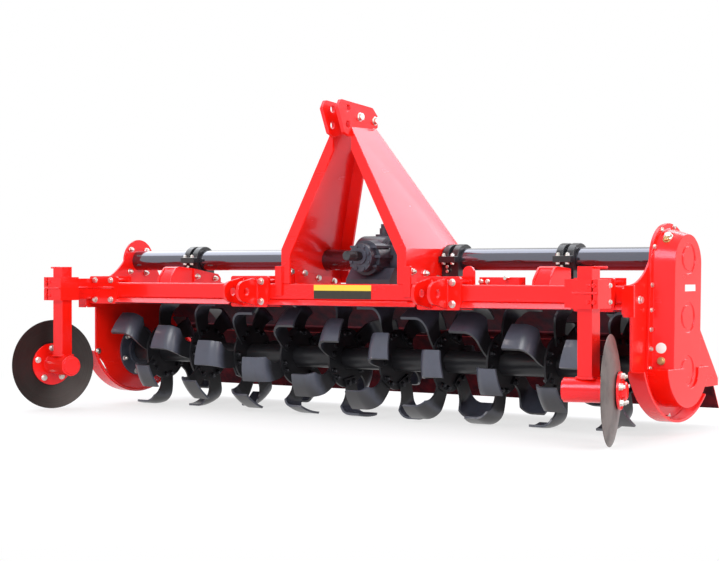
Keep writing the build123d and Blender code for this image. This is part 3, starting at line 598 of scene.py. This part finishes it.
class TILLER_OT_stage(bpy.types.Operator):
    """Floor, lamps, world and camera of the studio"""
    bl_idname = "tiller.stage"
    bl_label = "Studio"

    def execute(self, context):
        scene = context.scene
        colours = scene.tiller_colours
        scene.view_settings.view_transform = "Standard"

        finish = Finish("Studio floor", Roughness=0.55)
        distance = finish.vectors("LENGTH", finish.place(), out=1)
        tone = tuple(colours.floor)
        finish.set(Base_Color=finish.mix(finish.noise(30.0, 3.0), shade(tone, 0.995), tone))
        seen = finish.add("ShaderNodeLightPath") + finish.add("ShaderNodeLightPath", out="Is Glossy Ray")
        seen = seen.join("MINIMUM", seen, 1.0)
        near = 0.70 + distance.above(1.3, 3.0) * 0.30
        glow = finish.add("ShaderNodeEmission", None, {"Strength": 1.0})
        painted = Wire(finish, finish.shader.outputs[0])
        finish.put(finish.output.inputs[0], finish.add("ShaderNodeMixShader", None, {
            0: near * seen, 1: painted, 2: glow}))
        half = 14.0
        count = 28
        mesh = bpy.data.meshes.new("studio_floor")
        verts = [(-half + 2 * half * i / count, -half + 2 * half * j / count, 0.0)
                 for j in range(count + 1) for i in range(count + 1)]
        row = count + 1
        faces = [(j * row + i, j * row + i + 1, (j + 1) * row + i + 1, (j + 1) * row + i)
                 for j in range(count) for i in range(count)]
        mesh.from_pydata(verts, [], faces)
        mesh.materials.append(finish.material)
        floor = bpy.data.objects.new("studio_floor", mesh)
        scene.collection.objects.link(floor)

        world = bpy.data.worlds.new("Studio")
        scene.world = world
        world.use_nodes = True
        sky = Tree(world.node_tree)
        plain_rays = sky.add("ShaderNodeLightPath") + sky.add("ShaderNodeLightPath", out="Is Glossy Ray")
        through = sky.add("ShaderNodeLightPath", out="Is Transmission Ray")
        plain_rays = plain_rays.join("ADD", plain_rays, through, clamp=True)
        soft = sky.add("ShaderNodeBackground", None, {"Color": (0.93, 0.96, 1.0), "Strength": 0.42})
        white = sky.add("ShaderNodeBackground", None, {"Color": (1.0, 1.0, 1.0), "Strength": 1.0})
        mixed = sky.add("ShaderNodeMixShader", None, {0: plain_rays, 1: soft, 2: white})
        sky.add("ShaderNodeOutputWorld", None, {"Surface": mixed})

        target = spot(0, 0, 300)
        lamps = (
            ("Left panel", (-2300, 300, 3700), (3.6, 6.0), 150.0, (0.90, 0.94, 1.0)),
            ("Front key", (1100, -4700, 3300), (3.0, 2.4), 170.0, (1.0, 0.99, 0.97)),
            ("Right key", (4800, -1700, 2500), (2.6, 2.2), 150.0, (1.0, 0.99, 0.98)),
            ("Mast strip", (1450, 3500, 3050), (3.6, 3.0), 150.0, (0.94, 0.95, 1.0)),
        )
        for name, place, size, power, colour in lamps:
            light = bpy.data.lights.new(name, "AREA")
            light.shape = "RECTANGLE"
            light.size, light.size_y = size
            light.energy = power
            light.color = colour
            lamp = bpy.data.objects.new(name, light)
            lamp.location = spot(*place)
            lamp.rotation_euler = (target - lamp.location).to_track_quat("-Z", "Y").to_euler()
            scene.collection.objects.link(lamp)

        lens = bpy.data.cameras.new("Camera")
        lens.sensor_width = 36.0
        lens.lens = scene.tiller_sizes.lens
        lens.clip_end = 60.0
        camera = bpy.data.objects.new("Camera", lens)
        camera.location = spot(3623.52, -5031.38, 536.65)
        camera.rotation_euler = (math.radians(89.61), 0.0, math.radians(36.6))
        scene.collection.objects.link(camera)
        scene.camera = camera
        return {"FINISHED"}


class TILLER_OT_shell(bpy.types.Operator):
    """Front beam, hood, side plates, skids and their bolts and welds"""
    bl_idname = "tiller.shell"
    bl_label = "Shell"

    def execute(self, context):
        sizes = context.scene.tiller_sizes
        soften(["front_beam", "side_plate_left", "side_plate_right", "skid_left", "skid_right"], "red",
               sizes.edge)
        soften(["rotor_bearing_left", "rotor_bearing_right"], "cast", sizes.edge)
        soften(["hood"], "hood", sizes.edge)
        flats = sizes.bolt / MM
        bolts = Pile()
        for y, z in ((-37, 614), (52, 611), (-43, 526), (49, 520)):
            bolts.add(nut(flats), facing((LEFT_INNER, y, z), (1, 0, 0), 0.3))
            bolts.add(bolt(flats), facing((LEFT_OUTER, y, z), (-1, 0, 0), 0.1))
            bolts.add(bolt(flats), facing((RIGHT_INNER, y, z), (-1, 0, 0), 0.2))
        bolts.add(bolt(flats * 1.1), facing((LEFT_INNER, -222, 214), (1, 0, 0), 0.2))
        bolts.add(nut(flats * 1.1), facing((LEFT_OUTER, -222, 214), (-1, 0, 0), 0.2))
        skid_radius = 254
        middle_y, middle_z = SIDE_CENTRE
        for side, x in ((1, RIGHT_OUTER), (-1, LEFT_OUTER)):
            bolts.add(bolt(flats * 1.2), facing((x, -177, 439), (side, 0, 0), 0.25))
            for turn in (222, 270, 315):
                y = middle_y - skid_radius * math.cos(math.radians(turn))
                z = middle_z + skid_radius * math.sin(math.radians(turn))
                inward = (0, (middle_y - y) / skid_radius, (middle_z - z) / skid_radius)
                bolts.add(nut(flats * 0.9, 0.1), facing((x + side * 4, y, z), inward))
        bearing_radius = 76
        bearing_face = LEFT_OUTER - 14
        for k in range(6):
            turn = math.radians(60 * k + 20)
            y, rise = bearing_radius * math.cos(turn), bearing_radius * math.sin(turn)
            bolts.add(bolt(flats), facing((bearing_face, y, ROTOR_HEIGHT + rise), (-1, 0, 0), 0.4 * k))
            for side, x in ((1, LEFT_INNER + 8), (-1, RIGHT_INNER - 8)):
                bolts.add(nut(flats), facing((x, y * 1.13, ROTOR_HEIGHT + rise * 1.13), (side, 0, 0)))
        bolts.make("plate_bolts", "frame", "zinc", "machined_steel")

        left, right = LEFT_INNER + 1, RIGHT_INNER - 1
        weld_radius = 264
        weld("shell_welds", [
            seam((left, -180, 482), (left, 120, 451)),
            seam((right, -180, 482), (right, 120, 451)),
            seam((LEFT_INNER + 8, -196, 479), (RIGHT_INNER - 8, -196, 479), 9),
            seam((left, 135, 444), (left, 248, 322)),
            seam((right, 135, 444), (right, 248, 322)),
            arc_seam(SIDE_CENTRE, weld_radius, -24, -150, left, 60),
            arc_seam(SIDE_CENTRE, weld_radius, -24, -150, right, 60),
            seam((LEFT_INNER, BEAM_FRONT, 483), (LEFT_INNER, BEAM_FRONT, 427)),
            seam((RIGHT_INNER, BEAM_FRONT, 483), (RIGHT_INNER, BEAM_FRONT, 427)),
        ], sizes.weld / MM)
        decal = Pile()
        decal.add(prism(plate(BEAM_FRONT - 0.9, BEAM_FRONT + 1.0, 431, 480), -124, 126), AS_DRAWN)
        decal.make("beam_blank_decal", "frame", "decal", "red_paint")
        return {"FINISHED"}


class TILLER_OT_mast(bpy.types.Operator):
    """Mast legs, deck rails, top hitch plates and their bolts"""
    bl_idname = "tiller.mast"
    bl_label = "Mast"

    def execute(self, context):
        sizes = context.scene.tiller_sizes
        soften(["mast_leg_left", "mast_leg_right", "mast_rails", "top_hitch"], "red", sizes.edge)
        flats = sizes.bolt / MM
        bolts = Pile()
        for side in (-1, 1):
            for y, z in ((-220, 527), (-142, 521), (-62, 503), (32, 491)):
                bolts.add(nut(flats * 1.1), facing((side * 273, y, z), (side, 0, 0), 0.2))
                bolts.add(bolt(flats * 1.1), facing((side * 255, y, z), (-side, 0, 0), 0.1))
        bolts.make("mast_foot_bolts", "frame", "zinc", "machined_steel")
        spacers = Pile()
        hitch_side = 40.5
        for y, z in ((-204, 1067), (-115, 1059)):
            spacers.add(bolt(flats * 1.45), facing((hitch_side, y, z), (1, 0, 0), 0.3))
            spacers.add(nut(flats * 1.45), facing((-hitch_side, y, z), (-1, 0, 0), 0.1))
        spacers.make("top_hitch_bolts", "frame", "zinc", "machined_steel")

        seams = []
        for side in (-1, 1):
            low = Vector((side * 262, -246, 606))
            high = Vector((side * 33, -246, 1024))
            for first, last in ((0.0, 0.35), (0.45, 0.8)):
                seams.append(seam(low.lerp(high, first), low.lerp(high, last)))
            seams.append(seam((side * 262, -250, 486), (side * 238, -250, 486)))
            seams.append(seam((side * 274, -190, 478), (side * 274, 60, 453)))
            seams.append(seam((side * 41, -240, 1006), (side * 41, -120, 1030)))
        weld("mast_welds", seams, sizes.weld / MM)
        return {"FINISHED"}


class TILLER_OT_hitch(bpy.types.Operator):
    """Lower hitch clevises with their plate bolts"""
    bl_idname = "tiller.hitch"
    bl_label = "Lower hitch"

    def execute(self, context):
        sizes = context.scene.tiller_sizes
        soften(["lower_hitch_left", "lower_hitch_right"], "red", sizes.edge)
        flats = sizes.big_bolt / MM
        bolts = Pile()
        seams = []
        for side in (-1, 1):
            middle = side * LINK_PLACE
            for dx, dz in ((-56, -28), (-56, 28), (56, -36), (56, 36)):
                place = (middle + dx, PLATE_FRONT, BEAM_HEIGHT + dz)
                bolts.add(bolt(flats), facing(place, (0, -1, 0), 0.4))
            for dx in (-66, 66):
                for dz in (-ROD_RISE, ROD_RISE):
                    place = (middle + dx, PLATE_BACK, BEAM_HEIGHT + dz)
                    bolts.add(nut(flats * 0.8), facing(place, (0, 1, 0), 0.2))
            for dx in (-38.5, -25.5, 25.5, 38.5):
                x = middle + dx
                seams.append(seam((x, PLATE_FRONT - 1, 408), (x, PLATE_FRONT - 1, 502)))
        bolts.make("clevis_bolts", "frame", "zinc", "machined_steel")
        weld("clevis_welds", seams, sizes.weld / MM)
        return {"FINISHED"}


class TILLER_OT_cross_tubes(bpy.types.Operator):
    """Cross tube halves, split clamps, gussets with their covers, and the parking lug"""
    bl_idname = "tiller.cross_tubes"
    bl_label = "Cross tubes"

    def execute(self, context):
        sizes = context.scene.tiller_sizes
        soften(["cross_tube_left", "cross_tube_right"], "black", sizes.edge)
        soften(["tube_clamps"], "clamp", sizes.edge * 1.5)
        soften(["clamp_gussets"], "red", sizes.edge)
        flats = sizes.bolt / MM
        bolts = Pile()
        seams = []
        for x in CLAMPS:
            for y in (TUBE_Y - 63, TUBE_Y + 63):
                for dx in (-18, 18):
                    bolts.add(nut(flats * 0.8, 0.2), facing((x + dx, y, TUBE_Z + 11), (0, 0, 1), 0.3))
                    bolts.add(bolt(flats * 0.8), facing((x + dx, y, TUBE_Z - 11), (0, 0, -1), 0.1))
            for z in (544, 528):
                bolts.add(bolt(flats * 0.7, False), facing((x - 6, -46, z), (0, -1, 0), 0.2))
        for x in OUTER_CLAMPS:
            for dx in (-35, 35):
                seams.append(seam((x + dx, -192, 479), (x + dx, -58, 466)))
                seams.append(seam((x + dx, 78, 452), (x + dx, 128, 447)))
        bolts.add(lathe([(7, 0), (7, 24), (6, 26)], 16), facing((632, -176, 506), (0, -1, 0)))
        left = OUTER_CLAMPS[0]
        for y, z in ((-48, 507), (56, 499)):
            bolts.add(nut(flats), facing((left + 41, y, z), (1, 0, 0), 0.2))
        for x in (526, 552):
            bolts.add(bolt(flats * 0.8), facing((x, -180, 494), (0, -1, 0), 0.3))
        bolts.make("clamp_bolts", "frame", "zinc", "machined_steel")

        covers = Pile()
        front = [(-191, 480), (-187, 501), (-155, 541), (-149, 537), (-181, 499), (-185, 480)]
        for x in OUTER_CLAMPS:
            covers.add(prism(front, x - 27, x + 27), AS_DRAWN)
        cheek = [(-64, 466), (-64, 538), (-30, 532), (76, 516), (92, 500), (92, 452)]
        covers.add(prism(cheek, left + 34, left + 40), AS_DRAWN)
        covers.add(prism(cheek, left - 40, left - 34), AS_DRAWN)
        covers.make("gusset_covers", "frame", "red", "red_paint")

        lug_x, lug_radius = 482, 22
        outline = [(lug_x - lug_radius, 484), (lug_x + lug_radius, 484)]
        for x, z, _ in ring(lug_radius, 0, 24)[:13]:
            outline.append((lug_x + x, 524 + z))
        lug = Pile()
        lug.add(prism(outline, -190, -180, "y"), AS_DRAWN)
        lug.make("parking_lug", "frame", "red", "red_paint")
        weld("gusset_welds", seams, sizes.weld / MM)
        return {"FINISHED"}


def spline_ring(teeth, length, inset):
    """One ring of places round the splined shaft, at a length along it."""
    crest, root, least = 17.45, 15.2, 14.0
    places = []
    for k in range(teeth * 4):
        radius = max((crest if k % 4 in (0, 1) else root) - inset, least)
        turn = 2 * math.pi * k / (teeth * 4)
        places.append((radius * math.cos(turn), -radius * math.sin(turn), length))
    return places


class TILLER_OT_gearbox(bpy.types.Operator):
    """Gearbox castings, cover screws and the splined input shaft"""
    bl_idname = "tiller.gearbox"
    bl_label = "Gearbox"

    def execute(self, context):
        sizes = context.scene.tiller_sizes
        soften(["gearbox_housing", "gearbox_cover", "gearbox_filler"], "cast", sizes.edge)
        flats = sizes.small_bolt / MM
        screws = Pile()
        for number, (x, rise, _) in enumerate(ring(41, 0, 8, math.radians(22.5))):
            screws.add(bolt(flats, False), facing((x, -149, 576 + rise), (0, -1, 0), 0.2 * number))
        tube_clearance = 53
        for side, x in ((-1, -87), (1, 41)):
            for k in range(8):
                turn = math.radians(45 * k + 10)
                y, z = -4 + 62 * math.cos(turn), 571 + 62 * math.sin(turn)
                if math.hypot(y - TUBE_Y, z - TUBE_Z) > tube_clearance:
                    screws.add(bolt(flats, False), facing((x, y, z), (side, 0, 0), 0.3 * k))
        foot_top = 27
        for x in (-80, 80):
            for y in (-92, 72):
                screws.add(bolt(flats * 1.5), facing((x, y, deck(y) + foot_top), (0, 0, 1), 0.3))
        screws.make("gearbox_screws", "frame", "cast", "black_paint")

        shaft_end = -231
        end = spot(0, shaft_end, SHAFT_HEIGHT)
        FINISHES["shaft"] = turned("Input shaft steel", (0.10, 0.10, 0.11), end, (0, 1, 0), 60.0,
                                   (0.02, 0.02, 0.02))
        lying = Matrix.Rotation(math.radians(-90), 4, "X")
        along_shaft = Matrix.Translation(spot(0, 0, SHAFT_HEIGHT)) @ lying
        levels = ((shaft_end, 1.6), (-229.4, 0.0), (-198, 0.0), (-196, 2.4), (-190, 2.4), (-188, 0.0),
                  (-164, 0.0), (-158, 2.6))
        spline = Pile()
        spline.add(stack([spline_ring(20, length, inset) for length, inset in levels]), along_shaft)
        spline.add(lathe([(15, -159), (15, -141)], 32), along_shaft)
        piece = spline.make("splined_shaft", "input_shaft", "shaft", "machined_steel", 25)
        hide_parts("pto_shaft")
        return {"FINISHED"}


def case_edge(inset):
    """Bolt places round the drive case's flange, from the low front over the top to the low rear."""
    radius = 130 - inset
    drop = CASE_TOP[1] - CASE_LOW[1]
    down = (0.2, 0.43, 0.61, 0.79, 0.97)
    places = [(CASE_TOP[0] - radius - 15 * share, CASE_TOP[1] - drop * share) for share in reversed(down)]
    for turn in (26, 62, 103, 142, 175):
        angle = math.radians(turn)
        places.append((CASE_TOP[0] - radius * math.cos(angle), CASE_TOP[1] + radius * math.sin(angle)))
    places += [(CASE_TOP[0] + radius + 5 * share, CASE_TOP[1] - drop * share) for share in down]
    return places


class TILLER_OT_drive_case(bpy.types.Operator):
    """Side drive case, its guard, flange bolts, plugs and blank plates"""
    bl_idname = "tiller.drive_case"
    bl_label = "Drive case"

    def execute(self, context):
        sizes = context.scene.tiller_sizes
        soften(["drive_case", "case_guard"], "red", sizes.edge * 1.5)
        small = sizes.small_bolt / MM
        flange_x, wall_x = RIGHT_OUTER + 10, 1150
        wall_radius = 105
        bolts = Pile()
        for number, (y, z) in enumerate(case_edge(9)):
            bolts.add(bolt(small), facing((flange_x, y, z), (1, 0, 0), 0.4 * number))
        bolts.make("case_bolts", "frame", "zinc", "machined_steel")

        def on_top(turn):
            """A placing matrix on the drafted wall, round the case's upper end."""
            angle = math.radians(turn)
            y = CASE_TOP[0] - wall_radius * math.cos(angle)
            z = CASE_TOP[1] + wall_radius * math.sin(angle)
            outward = Vector((CASE_DRAFT, -math.cos(angle), math.sin(angle))).normalized()
            return facing((wall_x, y, z), outward)

        def on_front(y, z):
            return facing((wall_x, y, z), Vector((CASE_DRAFT, -1, 0)))

        filler = Pile()
        filler.add(merge(lathe([(15, -2), (15, 5), (13, 7)], 28), hexagon(20, 6, 15)), on_top(52))
        filler.make("case_filler_plug", "frame", "zinc", "machined_steel")
        oil = Pile()
        oil.add(merge(lathe([(12, -2), (12, 4), (11, 5)], 28), hexagon(16, 4, 14)), on_top(44))
        oil.add(merge(lathe([(13, -2), (13, 4), (12, 5)], 28), hexagon(18, 4, 14)), on_front(-102, 245))
        oil.make("case_oil_plugs", "frame", "brass", "machined_steel")
        blanks = Pile()
        blanks.add(lathe([(17, -1), (17, 0.8), (16.5, 1.1)], 36), on_front(-103, 286))
        blanks.add(prism(plate(-16, 57, 465, 486), 1189.5, 1191.2), AS_DRAWN)
        blanks.make("case_blank_plates", "frame", "label", "machined_steel")
        return {"FINISHED"}


class TILLER_OT_rotor(bpy.types.Operator):
    """Rotor tube, ten flanges of six blades, and the blade bolts"""
    bl_idname = "tiller.rotor"
    bl_label = "Rotor"

    def execute(self, context):
        sizes = context.scene.tiller_sizes
        sets = sorted(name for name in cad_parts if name.startswith("blade_set"))
        soften(["rotor_tube"], "rotor", sizes.edge)
        soften(sets, "blade", sizes.edge)
        flats = sizes.bolt / MM
        bolts = Pile()
        first_x, pitch = -1072, 225
        first_turn, step = 83.5, 15.5
        bolt_radius = 92
        for station in range(10):
            x = first_x + pitch * station
            for k in range(6):
                turn = first_turn - step * station + 60 * k
                hand = 1 if k % 2 == 0 else -1
                for off in (-10, 10):
                    angle = math.radians(turn + off)
                    y = -bolt_radius * math.cos(angle)
                    z = ROTOR_HEIGHT + bolt_radius * math.sin(angle)
                    bolts.add(bolt(flats), facing((x + hand * 12, y, z), (hand, 0, 0), angle))
                    bolts.add(nut(flats), facing((x - hand * 4, y, z), (-hand, 0, 0), angle))
        bolts.make("blade_bolts", "rotor", "bolt", "black_paint")
        return {"FINISHED"}


def hub_bolts(flats, centre, axis, rim):
    """Fasteners of a disc's hub: five heads on the flange, five nuts on a smaller circle outside."""
    bolts = Pile()
    upward = Vector((0, 0, 1))
    flat = axis.cross(upward).normalized()
    for k in range(5):
        angle = 2 * math.pi * k / 5 + 0.35
        radial = flat * math.cos(angle) + upward * math.sin(angle)
        bolts.add(bolt(flats * 1.1), facing(centre + axis * (rim + 10.2) + radial * 62, -axis, angle))
        bolts.add(nut(flats * 1.1), facing(centre + axis * (rim + 38) + radial * 43, axis, angle))
    return bolts


def arm_seams(side, post_x, plate_x):
    """Weld lines of one disc arm: the bar's ends, the collar on the post's foot and the ribs."""
    clamp_back, clamp_front = POST_Y + 51, POST_Y - 44
    left = side == "left"
    low, high = (-1258, -1212) if left else (plate_x - 23, plate_x + 23)
    seams = [
        seam((low, clamp_back, 499), (high, clamp_back, 499)),
        seam((high + 1, clamp_back, 422), (high + 1, clamp_back, 497)),
    ]
    if not left:
        seams.append(seam((high + 1, PLATE_FRONT - 1, 422), (high + 1, PLATE_FRONT - 1, 497)))
    half = 27
    collar = []
    for k in range(25):
        angle = 2 * math.pi * k / 24
        across, along = (max(-1, min(1, 1.5 * part)) for part in (math.cos(angle), math.sin(angle)))
        collar.append((post_x + half * across, POST_Y + half * along, 207))
    seams.append(collar)
    rib = ARM_HEIGHT + 3
    first, last = (post_x - 53, post_x + 31) if left else (post_x - 31, post_x + 53)
    seams.append(seam((first, clamp_front, rib), (last, clamp_front, rib)))
    if left:
        seams.append(seam((high, clamp_back, rib), (high, PLATE_FRONT - 1, rib)))
        seams.append(seam((plate_x - 44, PLATE_FRONT, rib), (plate_x + 62, PLATE_FRONT, rib)))
    return seams


class TILLER_OT_discs(bpy.types.Operator):
    """Front discs with hubs, posts, arms and their bolts"""
    bl_idname = "tiller.discs"
    bl_label = "Discs"

    def execute(self, context):
        sizes = context.scene.tiller_sizes
        disc_colour = context.scene.tiller_colours.disc
        turn = math.radians(18.5)
        disc_height = 170
        big = sizes.big_bolt / MM
        flats = sizes.bolt / MM
        arm_bolts = Pile()
        painted = Pile()
        seams = []
        # The tone factor gives one disc steel lit and shaded copies: 0.45 darkens the left disc as painted
        # shade, 2.0 lightens the right disc as painted light.
        for side, out, post_x, rim, plate_x, tone, head_rise in (
            ("left", -1, -1189, 80, -1154, 0.45, ROD_RISE),
            ("right", 1, 1082, 62, 998, 2.0, 28),
        ):
            axis = Vector((out * math.cos(turn), math.sin(turn), 0))
            centre = Vector((post_x, POST_Y, disc_height))
            FINISHES["disc_" + side] = turned("Disc steel " + side, shade(disc_colour, tone),
                                              spot(*centre), axis, 90.0, (0.03, 0.02, 0.02))
            soften(["disc_" + side], "disc_" + side, sizes.edge)
            soften(["disc_post_" + side, "disc_arm_" + side, "disc_hub_" + side], "red", sizes.edge)
            bolts = hub_bolts(flats, centre, axis, rim)
            bolts.make("disc_bolts_" + side, side + "_disc", "zinc", "machined_steel")
            for dx in (-42, 42):
                for up in (-1, 1):
                    head = (plate_x + dx, PLATE_FRONT, BEAM_HEIGHT + up * head_rise)
                    tail = (plate_x + dx, PLATE_BACK, BEAM_HEIGHT + up * ROD_RISE)
                    arm_bolts.add(bolt(big * 0.9), facing(head, (0, -1, 0), 0.5))
                    arm_bolts.add(nut(big * 0.8), facing(tail, (0, 1, 0), 0.2))
            for dz in (-25, 25):
                z = ARM_HEIGHT + dz
                cap = (post_x + out * 55, POST_Y + 32, z)
                arm_bolts.add(bolt(flats * 0.7), facing(cap, (out, 0, 0), 0.4))
                painted.add(bolt(flats * 0.7), facing((post_x + out * 42, POST_Y - 44, z), (0, -1, 0)))
                painted.add(bolt(flats * 0.6), facing((post_x + out * 22, POST_Y - 44, z), (0, -1, 0)))
            seams += arm_seams(side, post_x, plate_x)
        for x, out in ((1100, 1), (-1205, -1)):
            painted.add(lathe([(4, 0), (4, 44), (3, 46)], 16), facing((x, POST_Y, 541), (out, 0, 0)))
        painted.make("painted_arm_bolts", "frame", "red", "red_paint")
        arm_bolts.make("disc_arm_bolts", "frame", "zinc", "machined_steel")
        weld("disc_arm_welds", seams, sizes.weld / MM)
        return {"FINISHED"}


class TILLER_OT_rear_board(bpy.types.Operator):
    """Rear board and its hinge line"""
    bl_idname = "tiller.rear_board"
    bl_label = "Rear board"

    def execute(self, context):
        sizes = context.scene.tiller_sizes
        soften(["rear_board"], "board", sizes.edge)
        soften(["board_hinge"], "black", sizes.edge)
        return {"FINISHED"}


class TILLER_PT_panel(bpy.types.Panel):
    """Lists the tiller's operators in the sidebar"""
    bl_idname = "TILLER_PT_panel"
    bl_label = "Rotary tiller"
    bl_space_type = "VIEW_3D"
    bl_region_type = "UI"
    bl_category = "Tiller"

    def draw(self, context):
        for operator in OPERATORS:
            self.layout.operator(operator.bl_idname)
        for group in (context.scene.tiller_sizes, context.scene.tiller_colours):
            for name in group.__annotations__:
                self.layout.prop(group, name)


OPERATORS = (
    TILLER_OT_stage,
    TILLER_OT_shell,
    TILLER_OT_mast,
    TILLER_OT_hitch,
    TILLER_OT_cross_tubes,
    TILLER_OT_gearbox,
    TILLER_OT_drive_case,
    TILLER_OT_rotor,
    TILLER_OT_discs,
    TILLER_OT_rear_board,
)
CLASSES = (TillerSizes, TillerColours, *OPERATORS, TILLER_PT_panel)


def register():
    for one in CLASSES:
        bpy.utils.register_class(one)
    bpy.types.Scene.tiller_sizes = PointerProperty(type=TillerSizes)
    bpy.types.Scene.tiller_colours = PointerProperty(type=TillerColours)


def unregister():
    del bpy.types.Scene.tiller_colours
    del bpy.types.Scene.tiller_sizes
    for one in reversed(CLASSES):
        bpy.utils.unregister_class(one)


def main():
    register()
    make_finishes(bpy.context.scene.tiller_colours)
    for operator in OPERATORS:
        group, name = operator.bl_idname.split(".")
        getattr(getattr(bpy.ops, group), name)()


if __name__ == "__main__":
    main()
